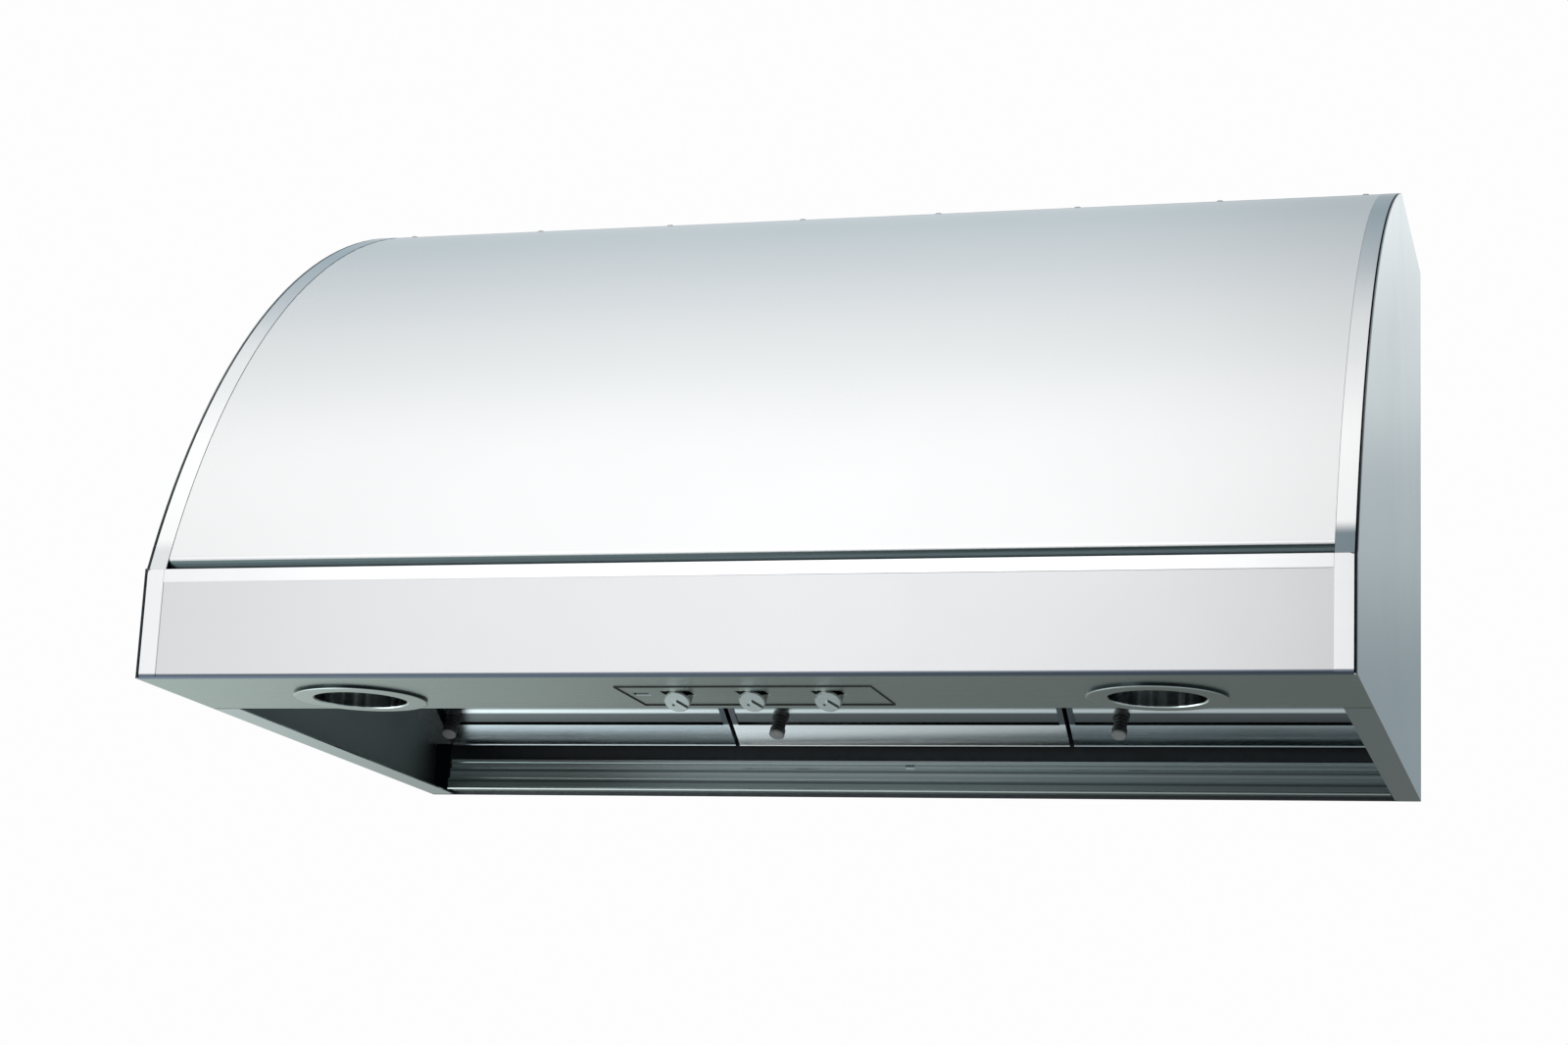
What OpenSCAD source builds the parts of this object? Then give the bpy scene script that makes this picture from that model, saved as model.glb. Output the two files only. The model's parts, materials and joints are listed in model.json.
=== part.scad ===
// Under cabinet range hood, 36 inch class, stainless sheet shell with a rolled canopy,
// three pivoting grease filters, two lamps, three rotary controls and a twin wheel blower.
// Shell coordinates: X across, Y back from the front face, Z up from the underside.
// The origin of the finished part is the centre of the cabinet screw pattern on the top face.

/* [Shell] */
// Overall width of the shell
body_w = 914; // [860:1:990]
// Depth from the front face to the wall
body_d = 610; // [605:1:640]
// Height from the underside to the cabinet
body_h = 477; // [470:1:520]
// Depth of the flat top that meets the cabinet
top_d = 221; // [215:1:240]
// Radius of the rolled canopy
arc_r = 644; // [600:1:760]
// Sheet thickness of the shell
sheet = 1.2; // [1:0.1:1.6]
// Width of the inward flange along the bottom of each side panel
flange_w = 22; // [16:1:26]

/* [Front] */
// Height of the upright front band
band_h = 85; // [80:1:95]
// Width of the polished strips down the sides
strip_w = 13.5; // [8:0.5:18]
// Height of the polished strip along the top of the band
strip_h = 10; // [6:0.5:14]
// Radius of the rounded hem along the bottom of the canopy
hem_r = 8; // [5:0.5:9]
// Shadow gap between the side panels and the front pieces
reveal = 1.2; // [0.8:0.1:2]
// Depth of the lamp panel under the front
lamp_panel_d = 136; // [134:1:140]

/* [Lamps] */
// Distance of each lamp from the middle
lamp_x = 308; // [260:1:320]
// Distance of the lamps from the front face
lamp_y = 84; // [80:1:84]
// Outer radius of the lamp trim
lamp_trim_r = 51.5; // [46:0.5:51.5]
// Radius of the lamp opening
lamp_open_r = 35.5; // [33:0.5:36]

/* [Controls] */
// Middle knob, measured across from the middle of the hood
ctrl_x = 10; // [-40:1:40]
// Spacing of the knobs
knob_pitch = 58; // [50:1:60]
// Radius of a knob
knob_r = 10; // [8:0.5:10.5]
// Height of a knob along its axis
knob_h = 9; // [7:0.5:9]
// Angle between the knob axis and the vertical, leaning to the front
knob_tilt = 40; // [35:1:42]

/* [Filters] */
// Slope of the filters, down towards the wall
filter_slope = 30; // [28:1:31]
// Length of a filter along the slope
filter_l = 400; // [380:1:400]
// Thickness of a filter
filter_t = 12; // [10:1:14]
// Gap between neighbouring filters
filter_gap = 4; // [3:0.5:6]
// Width of the middle filter
filter_mid_w = 305; // [280:1:310]
// Depth of the filter's upper border
filter_rim = 24; // [18:1:30]
// Depth of the filter's lower border
filter_foot = 30; // [24:1:34]
// Width of the filter's side borders
filter_side = 5; // [4:0.5:8]
// Spacing of the baffles
slat_pitch = 38; // [30:1:44]

/* [Blower] */
// Distance of the fan shaft from the front face
fan_y = 498; // [494:1:500]
// Height of the fan shaft
fan_z = 270; // [268:1:275]
// Radius of a fan wheel
wheel_r = 75; // [65:1:78]
// Width of a fan wheel
wheel_w = 66; // [50:1:68]
// Number of blades on a fan wheel
blades = 30; // [20:1:36]
// Radius of the motor shell
motor_r = 55; // [48:1:58]
// Radius of the fan shaft
shaft_r = 5; // [4:0.5:6]

/* [Duct] */
// Outside width of the rectangular duct collar
collar_w = 254; // [250:1:258]
// Outside depth of the rectangular duct collar
collar_d = 83; // [80:1:84]
// Height of the collar above the top face
collar_h = 30; // [20:1:35]

/* [Mounting] */
// Cabinet screw spacing across
cab_sx = 780; // [600:1:780]
// Cabinet screw spacing, front to back
cab_sy = 150; // [120:1:150]
// Wall screw spacing across
wall_sx = 760; // [500:1:760]
// Wall screw spacing, low to high
wall_sz = 350; // [200:1:350]
// Radius of the cabinet and wall screw holes
screw_r = 2.75; // [2:0.05:3.5]
// Radius of the supply cable knockout
knock_r = 11.1; // [11:0.05:14.3]

/* [Hidden] */

FN = 96;
hw = body_w / 2;
top_y = body_d - top_d;                 // front edge of the flat top
arc_y0 = 2.4;                           // foot of the canopy curve
chord_y = top_y - arc_y0;
chord_z = body_h - band_h;
chord = sqrt(chord_y * chord_y + chord_z * chord_z);
arc_d = sqrt(arc_r * arc_r - chord * chord / 4);
cy = (arc_y0 + top_y) / 2 + arc_d * chord_z / chord;   // centre of the canopy curve
cz = (band_h + body_h) / 2 - arc_d * chord_y / chord;
a_top = atan2(body_h - cz, cy - top_y);                // angles up from the -Y direction
a_foot = atan2(band_h - cz, cy - arc_y0);
skin_r = arc_r - 0.4;                                  // outer radius of the canopy sheet
hem_z = band_h + 0.6 + hem_r;
a_hem = asin((hem_z - cz) / (skin_r - hem_r));
hem_y = cy - (skin_r - hem_r) * cos(a_hem);
in_x = hw - sheet - reveal;                            // half width between the reveals
skin_x = in_x - strip_w - 0.3;
plate_y = 500;                                         // middle of the cabinet screw pattern
wall_y = body_d - sheet;

// front compartment wall
wf_y = lamp_panel_d - 0.2;
wt_y = 318;
wt_z = cz + sqrt((skin_r - 1.5) * (skin_r - 1.5) - (cy - wt_y) * (cy - wt_y)) - 1.5;
function wall_y_at(z) = wf_y + (wt_y - wf_y) * (z - sheet) / (wt_z - sheet);

// knobs
ay = -sin(knob_tilt);                                  // outward knob axis
az = -cos(knob_tilt);
face_y = 69;
face_z = -7;
pocket_gap = 2;
pd = knob_h + pocket_gap;
pf_y = face_y - ay * pd;                               // point on the pocket floor
pf_z = face_z - az * pd;
plate_t = 1;
back = 8.5;                              // stand-off of a control body behind the pocket floor

// filters
fe_y = body_d - 18;                                    // lower end of a filter
fe_z = 44;
filter_out_w = (body_w - 2 * flange_w - 4 - 2 * filter_gap - filter_mid_w) / 2;
function filter_w(i) = i == 0 ? filter_mid_w : filter_out_w;
filter_px = (filter_mid_w + filter_out_w) / 2 + filter_gap;
pivot_l = filter_l - 12;

// blower
scroll_x0 = 76;                                        // inner side of a scroll
scroll_w = wheel_w + 16;
duct_y0 = 514;
duct_y1 = duct_y0 + collar_d;
neck_z = 394;

steel = [0.80, 0.81, 0.82];
polished = [0.90, 0.91, 0.92];
shade = [0.62, 0.66, 0.67];
galv = [0.66, 0.69, 0.70];
black = [0.10, 0.10, 0.11];

module hood() { translate([0, -plate_y, -body_h]) children(); }

// bar along X with the given [y, z] outline
module xprism(p, x0, x1) { translate([x0, 0, 0]) rotate([90, 0, 90]) linear_extrude(height = x1 - x0) polygon(p); }
module xcyl(r, x0, x1, y, z) { translate([x0, y, z]) rotate([0, 90, 0]) cylinder(r = r, h = x1 - x0, $fn = FN); }
module slab(x0, x1, y0, y1, z0, z1) { translate([x0, y0, z0]) cube([x1 - x0, y1 - y0, z1 - z0]); }

// curved sheet about the canopy centre, outer radius r, thickness t, between two angles
module curve(r, t, a0, a1, x0, x1) {
  k = arc_r + 60;
  intersection() {
    difference() { xcyl(r, x0, x1, cy, cz); xcyl(r - t, x0 - 1, x1 + 1, cy, cz); }
    xprism([[cy, cz], [cy - k * cos(a0), cz + k * sin(a0)],
            [cy - k * cos((a0 + a1) / 2) * 1.1, cz + k * sin((a0 + a1) / 2) * 1.1],
            [cy - k * cos(a1), cz + k * sin(a1)]], x0 - 0.5, x1 + 0.5);
  }
}

// flat side outline with the canopy curve, as a plate from x0 to x1
module side_plate(x0, x1) {
  am = (a_foot + a_top) / 2;
  union() {
    xprism([[0, 0], [body_d, 0], [body_d, body_h], [top_y, body_h], [arc_y0, band_h], [0, band_h]], x0, x1);
    intersection() {
      xcyl(arc_r, x0, x1, cy, cz);
      xprism([[arc_y0, band_h], [cy - 1.2 * arc_r * cos(am), cz + 1.2 * arc_r * sin(am)], [top_y, body_h]], x0 - 0.5, x1 + 0.5);
    }
  }
}

module side_panel() {
  xi = hw - sheet;
  difference() {
    union() {
      side_plate(xi, hw);
      slab(hw - flange_w, xi + 0.01, lamp_panel_d, body_d - 4, 0, sheet);
      slab(hw - 16, xi + 0.01, wall_y - sheet, wall_y, sheet, body_h - sheet);
      slab(hw - 16, xi + 0.01, top_y + 22, wall_y - sheet, body_h - 2 * sheet, body_h - sheet);
    }
    // rounded corner where the bottom flange ends at the wall
    translate([hw - flange_w, body_d - 4, -1]) rotate([0, 0, 45]) cube([5, 5, 4], center = true);
  }
}
module left_side_panel() { color(steel) hood() mirror([1, 0, 0]) side_panel(); }
module right_side_panel() { color(steel) hood() side_panel(); }

// rolled canopy sheet with its rounded bottom hem and the return that the top panel is screwed to
module canopy() {
  color(steel) hood() {
    x = skin_x;
    curve(skin_r, 1, a_hem, a_top, -x, x);
    intersection() {
      difference() { xcyl(hem_r, -x, x, hem_y, hem_z); xcyl(hem_r - 1, -x - 1, x + 1, hem_y, hem_z); }
      xprism([[hem_y, hem_z],
              [hem_y - 20 * cos(a_hem), hem_z + 20 * sin(a_hem)],
              [hem_y - 30, hem_z - 12], [hem_y - 8, hem_z - 30], [hem_y + 3, hem_z - 20]], -x - 1, x + 1);
    }
    difference() {
      slab(-x, x, top_y - 1.5, top_y + 20, body_h - 2 * sheet, body_h - sheet);
      for (k = screw_xs()) translate([k, top_y + 9, body_h]) cylinder(r = 2, h = 8, center = true, $fn = FN);
    }
    slab(-x, x, hem_y + 0.5, hem_y + 14, hem_z - hem_r, hem_z - hem_r + 1);
  }
}

module edge_strip() {
  curve(arc_r, 1.2, a_foot, a_top, in_x - strip_w, in_x);
  curve(arc_r - 1, 9, a_foot, a_top, in_x - 1, in_x);
}
module left_edge_strip() { color(polished) hood() mirror([1, 0, 0]) edge_strip(); }
module right_edge_strip() { color(polished) hood() edge_strip(); }

// upright front band with a rounded bottom edge and a top return
module front_band() {
  color(steel) hood() {
    slab(-in_x, in_x, 0.8, 2, 2, band_h - 1);
    slab(-in_x, in_x, 2, 16, band_h - 2.2, band_h - 1);
    intersection() {
      difference() { xcyl(2, -in_x, in_x, 2.8, 2.01); xcyl(0.8, -in_x - 1, in_x + 1, 2.8, 2.01); }
      xprism([[2.8, 2.01], [2.8, -1], [0, -1], [0, 2.01]], -in_x - 1, in_x + 1);
    }
  }
}
module band_top_strip() {
  color(polished) hood() slab(-in_x + strip_w + 0.3, in_x - strip_w - 0.3, 0, 0.8, band_h - strip_h - 0.6, band_h - 0.6);
}
module band_side_strip() {
  r = 3.5;
  x0 = in_x - strip_w;
  hull() {
    slab(x0, in_x, 0, 0.8, 1.6, 10);
    slab(x0, x0 + 1, 0, 0.8, band_h - 2, band_h - 0.6);
    translate([in_x - r, 0.8, band_h - 0.6 - r]) rotate([90, 0, 0]) cylinder(r = r, h = 0.8, $fn = 32);
  }
}
module band_side_strips() {
  color(polished) hood() { band_side_strip(); mirror([1, 0, 0]) band_side_strip(); }
}

module rect_holes(sx, sy, r, h) { for (x = [-1, 1], y = [-1, 1]) translate([x * sx / 2, y * sy / 2, 0]) cylinder(r = r, h = h, center = true, $fn = FN); }

screw_pitch = 122;
function screw_xs() = [for (i = [-3.5:1:3.5]) i * screw_pitch * body_w / 914];
jb_x0 = -330; jb_x1 = -230; jb_y0 = 410; jb_y1 = 480; jb_z0 = body_h - 55;

module top_panel() {
  color(galv) hood() difference() {
    slab(-hw + sheet, hw - sheet, top_y + 0.6, wall_y, body_h - sheet, body_h);
    slab(-collar_w / 2 + 1, collar_w / 2 - 1, duct_y0 + 1, duct_y1 - 1, body_h - 3, body_h + 1);
    translate([0, plate_y, body_h]) rect_holes(cab_sx, cab_sy, screw_r, 6);
    translate([(jb_x0 + jb_x1) / 2, (jb_y0 + jb_y1) / 2, body_h]) cylinder(r = knock_r, h = 6, center = true, $fn = FN);
    for (x = screw_xs()) translate([x, top_y + 9, body_h]) cylinder(r = 2, h = 6, center = true, $fn = FN);
  }
}
module back_panel() {
  color(galv) hood() difference() {
    union() {
      slab(-hw + sheet, hw - sheet, wall_y, body_d, 0, body_h - sheet);
    }
    translate([0, body_d, 255]) rotate([90, 0, 0]) rect_holes(wall_sx, wall_sz, screw_r, 6);
  }
}

module canopy_screws() {
  color(polished) hood() for (x = screw_xs()) translate([x, top_y + 9, 0]) {
    translate([0, 0, body_h]) cylinder(r = 3.6, h = 0.6, $fn = FN);
    translate([0, 0, body_h + 0.5]) cylinder(r = 2.9, h = 2.5, $fn = 6);
    translate([0, 0, body_h - 9]) cylinder(r = 2, h = 9.5, $fn = FN);
  }
}

plate_gap = 0.9;
// underside panel with the lamp holes, the control opening and a rolled rear edge
module lamp_panel() {
  color(shade) hood() {
    difference() {
      slab(-hw + sheet, hw - sheet, 2.9, lamp_panel_d - 1.8, 0, sheet);
      for (s = [-1, 1]) translate([s * lamp_x, lamp_y, 0]) cylinder(r = lamp_open_r + 2.5, h = 10, center = true, $fn = FN);
      slab(ctrl_x - 98 - plate_gap, ctrl_x + 96 + plate_gap, 42 - plate_gap, 118 + plate_gap, -1, 5);
    }
    xcyl(1.8, -in_x + 12, in_x - 12, lamp_panel_d - 1.8, 1.8);
  }
}
module inner_front_wall() {
  color(galv) hood() difference() {
    xprism([[wf_y, 4], [wf_y + 1.4, 4], [wt_y + 1.4, wt_z], [wt_y, wt_z]], -in_x + 1.4, in_x - 1.4);
    translate([(jb_x0 + jb_x1) / 2, wall_y_at(413), 413]) rotate([90, 0, 0]) cylinder(r = 9, h = 12, center = true, $fn = FN);
  }
}

// places children in knob i's frame: origin on the knob face, +Z outward along the axis
module at_knob(i) { translate([ctrl_x + i * knob_pitch, face_y, face_z]) rotate([90 + (90 - knob_tilt), 0, 0]) rotate([0, 0, 180]) children(); }

// wedge shaped recess below a slanted floor, w wide, reaching l up the slope
module wedge(xc, w, l, e) {
  c = cos(knob_tilt); s = sin(knob_tilt);
  ty = pf_y - l * c; tz = pf_z + l * s;                 // deep end of the floor
  by = pf_y + (pf_z + 2) / s * c; bz = -2;              // floor carried down past the plate
  xprism([[ty - e * 0.4, tz + 1.5 * e], [by + 1.4 * e, bz], [ty - e, bz]], xc - w / 2 - e, xc + w / 2 + e);
}
module control_plate() {
  color(shade) hood() difference() {
    union() {
      slab(ctrl_x - 98, ctrl_x + 96, 42, 118, 0, plate_t);
      difference() {
        union() { slab(ctrl_x - 98, ctrl_x + 96, 42, 118, 0, sheet + 1.1); slab(ctrl_x - 105, ctrl_x + 103, 35, 125, sheet + 0.1, sheet + 1.1); }
        slab(ctrl_x - 97, ctrl_x + 95, 43, 117, -1, 5);
      }
      intersection() {
        union() { for (i = [-1:1]) wedge(ctrl_x + i * knob_pitch, 23, 20, 1); wedge(ctrl_x - 87, 12, 11, 1); }
        slab(-hw, hw, 43.5, 116.5, 0, 40);
      }
    }
    for (i = [-1:1]) wedge(ctrl_x + i * knob_pitch, 23, 20, 0);
    wedge(ctrl_x - 87, 12, 11, 0);
    for (i = [-1:1]) at_knob(i) translate([0, 0, -pd - 12]) cylinder(r = 5, h = 24, $fn = FN);
  }
}

// knob with a pointer ridge across its face and a set screw hole
module knob(i) {
  color([0.72, 0.73, 0.74]) hood() at_knob(i) {
    difference() {
      union() {
        translate([0, 0, -knob_h]) cylinder(r = knob_r, h = knob_h - 1, $fn = FN);
        translate([0, 0, -1.01]) cylinder(r1 = knob_r, r2 = knob_r - 0.9, h = 1.01, $fn = FN);
        rotate([0, 0, -40]) translate([-knob_r + 1.2, -1.1, -0.5]) cube([knob_r, 2.2, 1.9]);
      }
      translate([0, 0, -knob_h - 1]) cylinder(r = 3, h = knob_h - 1, $fn = FN);
      translate([3.2, 2.6, -2]) cylinder(r = 1.1, h = 4, $fn = FN);
    }
  }
}
module knob_left() { knob(-1); }
module knob_middle() { knob(0); }
module knob_right() { knob(1); }

module shaft(i) {
  color(polished) hood() at_knob(i) {
    translate([0, 0, -pd - 14 - back]) cylinder(r = 3, h = pd + 14 + back - 2, $fn = FN);
    translate([0, 0, -pd - 13 - back]) cylinder(r = 5, h = 2, $fn = FN);
  }
}
module shaft_left() { shaft(-1); }
module shaft_middle() { shaft(0); }
module shaft_right() { shaft(1); }

// body of each rotary control with its threaded neck through the pocket floor
module rotary_controls() {
  color(black) hood() for (i = [-1:1]) at_knob(i) difference() {
    union() {
      translate([0, 0, -pd - 17 - back]) cylinder(r = 11, h = 16, $fn = FN);
      translate([0, 0, -pd - 1.1 - back]) cylinder(r = 4.8, h = 2.6 + back, $fn = FN);
      translate([-5, -15, -pd - 17 - back]) cube([10, 6, 2]);
    }
    translate([0, 0, -pd - 15 - back]) cylinder(r = 3.05, h = 20 + back, $fn = FN);
    translate([0, 0, -pd - 13.3 - back]) cylinder(r = 5.4, h = 2.6, $fn = FN);
  }
}
module control_nuts() {
  color(polished) hood() for (i = [-1:1]) at_knob(i) difference() {
    translate([0, 0, -pd]) cylinder(r = 7, h = 1.5, $fn = 6);
    translate([0, 0, -pd - 1]) cylinder(r = 4.9, h = 4, $fn = FN);
  }
}

module lamp_trim(s) {
  r0 = lamp_open_r; r1 = lamp_trim_r;
  color(polished) hood() translate([s * lamp_x, lamp_y, 0]) rotate_extrude($fn = FN)
    polygon([[r0, 14], [r0, -1.6], [r0 + 1.2, -2.5], [r1 - 7, -2.4], [r1 - 1, -2.3], [r1, -1.9], [r1 - 0.5, -1.7], [r1 - 0.5, 0], [r0 + 1.5, 0], [r0 + 1.5, 14]]);
}
module lamp_trim_left() { lamp_trim(-1); }
module lamp_trim_right() { lamp_trim(1); }

module lamp_can(s) {
  r = lamp_open_r + 1.5;
  color(galv) hood() translate([s * lamp_x, lamp_y, 0]) difference() {
    union() {
      translate([0, 0, sheet]) cylinder(r = r + 1, h = 80, $fn = FN);
      translate([0, 0, sheet]) cylinder(r = r + 9, h = 1.2, $fn = FN);
    }
    translate([0, 0, -1]) cylinder(r = r, h = 80, $fn = FN);
    cylinder(r = 15, h = 100, $fn = FN);
  }
}
module lamp_can_left() { lamp_can(-1); }
module lamp_can_right() { lamp_can(1); }

module lamp_bulb(s) {
  color([0.92, 0.92, 0.88]) hood() translate([s * lamp_x, lamp_y, 0]) rotate_extrude($fn = FN)
    polygon([[0, 26], [18, 26.6], [29, 29], [31.5, 32], [31, 36], [27, 50], [19, 66], [13.4, 74], [13.4, 96], [0, 96]]);
}
module lamp_bulb_left() { lamp_bulb(-1); }
module lamp_bulb_right() { lamp_bulb(1); }
module lamp_sockets() {
  color([0.93, 0.93, 0.9]) hood() for (s = [-1, 1]) translate([s * lamp_x, lamp_y, 0]) difference() {
    union() { translate([0, 0, sheet + 80]) cylinder(r = 18, h = 22, $fn = FN); translate([0, 0, sheet + 80]) cylinder(r = 24, h = 2, $fn = FN); }
    translate([0, 0, 80]) cylinder(r = 13.5, h = 16.1, $fn = FN);
  }
}

// places children in the filter frame: X across, +Y up the slope, +Z up off the filter
module at_filter(i) { translate([i * filter_px, fe_y, fe_z]) rotate([-filter_slope, 0, 0]) rotate([0, 0, 180]) children(); }
function grip_x(i) = filter_w(i) / 2 - (i < 0 ? 13 : 47);
grip_y = 41;

module filter_frame(i) {
  w = filter_w(i); l = filter_l; t = filter_t;
  color(steel) hood() at_filter(i) {
    difference() {
      translate([-w / 2, 0, 0]) cube([w, l, t]);
      translate([-w / 2 + filter_side, filter_foot, -1]) cube([w - 2 * filter_side, l - filter_foot - filter_rim, t + 2]);
      // channel section: the border is hollow on its inner side
      translate([-w / 2 + 1, 1, 1]) cube([w - 2, l - 2, t - 2]);
    }
    // rolled lower edge
    translate([-w / 2, 1.1, 0.4]) rotate([0, 90, 0]) cylinder(r = 1.1, h = w, $fn = FN);
  }
}
// two staggered rows of channel shaped baffles with their ends inside the frame
module filter_baffles(i) {
  w = filter_w(i) - 2.4; b = filter_foot; span = filter_l - filter_foot - filter_rim; n = floor(span / slat_pitch);
  p = span / n; sw = p - 9;
  color(steel) hood() at_filter(i) {
    for (k = [0:n - 1]) translate([-w / 2, b + p * k + 3, 1.1]) {
      difference() { cube([w, sw, 4.2]); translate([-1, 1, 1]) cube([w + 2, sw - 2, 5]); }
    }
    for (k = [1:n - 1]) translate([-w / 2, b + p * k - 1.5 - sw / 2, filter_t - 5.3]) {
      difference() { cube([w, sw, 4.2]); translate([-1, 1, -1]) cube([w + 2, sw - 2, 4.2]); }
    }
    for (k = [1:n - 1], s = [-1, 1]) translate([s * (w / 2 - 6) - 2, b + p * k - 7.3, 2]) cube([4, 11.6, 5.6]);
    for (s = [-1, 1]) translate([s * (w / 2 - 2.4) - 2.4, 3, 4.8]) cube([4.8, filter_l - 6, 2.2]);
  }
}
module filter_grip(i) {
  color(black) hood() at_filter(i) translate([grip_x(i), grip_y, 0]) {
    translate([0, 0, -20]) cylinder(r = 5.1, h = 20, $fn = FN);
    for (k = [0:2]) translate([0, 0, -12.6 + k * 3.8]) cylinder(r = 6, h = 2, $fn = FN);
    translate([0, 0, -2]) cylinder(r = 7.4, h = 3.1, $fn = FN);
    translate([0, 0, -20]) cylinder(r = 6.9, h = 5.6, $fn = FN);
    translate([0, 0, -21.2]) cylinder(r1 = 5.7, r2 = 6.9, h = 1.3, $fn = FN);
  }
}
module filter_left_frame() { filter_frame(-1); }
module filter_middle_frame() { filter_frame(0); }
module filter_right_frame() { filter_frame(1); }
module filter_left_baffles() { filter_baffles(-1); }
module filter_middle_baffles() { filter_baffles(0); }
module filter_right_baffles() { filter_baffles(1); }
module filter_left_grip() { filter_grip(-1); }
module filter_middle_grip() { filter_grip(0); }
module filter_right_grip() { filter_grip(1); }

// ledge on the inner wall that the upper edges of the filters rest and pivot on
module filter_ledge() {
  x = hw - sheet - 2;
  color(galv) hood() translate([0, fe_y, fe_z]) rotate([-filter_slope, 0, 0]) rotate([0, 0, 180]) {
    translate([-x, pivot_l, -1.8]) cube([2 * x, 19.5, 1.5]);
    for (s = [-1:1]) translate([s * x * 0.66 - 40, pivot_l + 13, -1.8]) cube([80, 1.6, 12]);
  }
}

// sloped fillers between the outer filters and the side panels
module filter_side_rails() {
  x0 = hw - flange_w - 0.5;
  color(galv) hood() for (s = [0, 1]) mirror([s, 0, 0]) translate([0, fe_y, fe_z]) rotate([-filter_slope, 0, 0]) {
    translate([x0, -404, 0]) cube([hw - sheet - 0.1 - x0, 402, 1.2]);
    translate([x0, -404, 0]) cube([1.2, 402, 9]);
  }
}

// fixed rail along the wall that carries the grease tray
tray_x = hw - flange_w - 2;
module rear_rail() {
  color(shade) hood() {
    xprism([[fe_y - 7, 2.5], [wall_y - sheet, 2.5], [wall_y - sheet, 3.5], [fe_y - 6, 3.5], [fe_y - 6, 11.5], [fe_y - 7, 12]], -tray_x, tray_x);
    slab(-tray_x, tray_x, wall_y - sheet - 0.02, wall_y, 2.5, 27);
    xcyl(1.2, -tray_x, tray_x, fe_y - 6.8, 3.0);
  }
}
module grease_tray() {
  y0 = fe_y - 5.2; y1 = wall_y - sheet - 0.8; x = tray_x - 1;
  color(shade) hood() {
    xprism([[y0 + 1, 4], [y1, 4], [y1, 29], [y1 - 1, 29], [y1 - 1, 5], [y0 + 2, 5], [y0 + 1, 12], [y0 + 1, 20.8], [y0 + 3.4, 22.4],
            [y0 + 3.4, 30], [y0 + 1.4, 30], [y0 + 1.4, 27.6], [y0 + 2.4, 27.2], [y0 + 2.4, 23.2], [y0, 21.6], [y0, 12.6]], -x, x);
    for (s = [-1, 1]) slab(s > 0 ? x - 1 : -x, s > 0 ? x : -x + 1, y0 + 1.5, y1 - 0.5, 4.5, 20.6);
    translate([8, 0, 0]) xprism([[y0 + 2.6, 23.6], [y0 + 1, 24.2], [y0 + 2.6, 29]], -4, 4);
  }
}

// spiral casing: the radius grows from the cut-off above the wheel, over the front and under, to the wall side
function vr(a, g) = wheel_r + 9 + 18 * a / 270 - g;
function spiral(g) = [for (a = [-15:7.5:270]) [fan_y + vr(a, g) * cos(90 + a), fan_z + vr(a, g) * sin(90 + a)]];
scroll_back = fan_y + wheel_r + 27;
module scroll_outline(g, x0, x1, top) {
  xprism(spiral(g), x0, x1);
  slab(x0, x1, duct_y0 + g, scroll_back - g, fan_z, top);
}
module scroll_shell(x0, x1) {
  difference() {
    union() {
      scroll_outline(0, x0, x1, neck_z);
      slab(x0, x1, duct_y0 - 8, scroll_back + 5, neck_z - 1.2, neck_z);
    }
    scroll_outline(1, x0 + 1, x1 - 1, neck_z + 5);
  }
}
module scroll_right_base() {
  x0 = scroll_x0; x1 = x0 + scroll_w;
  difference() {
    union() {
      scroll_shell(x0, x1);
      translate([x1 - 0.5, fan_y, fan_z]) rotate([0, 90, 0]) cylinder(r = wheel_r - 8, h = 5, $fn = FN);
    }
    xcyl(wheel_r - 11, x1 - 4, x1 + 10, fan_y, fan_z);
    xcyl(24, x0 - 2, x0 + 3, fan_y, fan_z);
    for (s = [-1, 1]) xcyl(2.1, x0 - 2, x0 + 3, fan_y + s * 36, fan_z);
  }
}
module scroll_left() { color(galv) hood() mirror([1, 0, 0]) scroll_right_base(); }
module scroll_right() { color(galv) hood() scroll_right_base(); }

module wheel() {
  x0 = scroll_x0 + 8; x1 = x0 + wheel_w;
  difference() {
    union() {
      xcyl(wheel_r, x0, x0 + 1.4, fan_y, fan_z);
      xcyl(14, x0 + 0.2, x0 + 24, fan_y, fan_z);
      difference() { xcyl(wheel_r, x1 - 4, x1, fan_y, fan_z); xcyl(wheel_r - 9, x1 - 5, x1 + 1, fan_y, fan_z); }
      for (k = [0:blades - 1]) translate([x0 + 0.7, fan_y, fan_z]) rotate([k * 360 / blades, 0, 0])
        translate([0, 0, wheel_r - 10.5]) rotate([24, 0, 0]) translate([0, -0.5, 0]) cube([wheel_w - 2, 1, 10.2]);
    }
    xcyl(shaft_r, x0 - 1, x0 + 30, fan_y, fan_z);
  }
}
module wheel_left() { color(black) hood() mirror([1, 0, 0]) wheel(); }
module wheel_right() { color(black) hood() wheel(); }
module fan_shaft() {
  l = scroll_x0 + 34;
  color(polished) hood() xcyl(shaft_r, -l, l, fan_y, fan_z);
}
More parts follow.
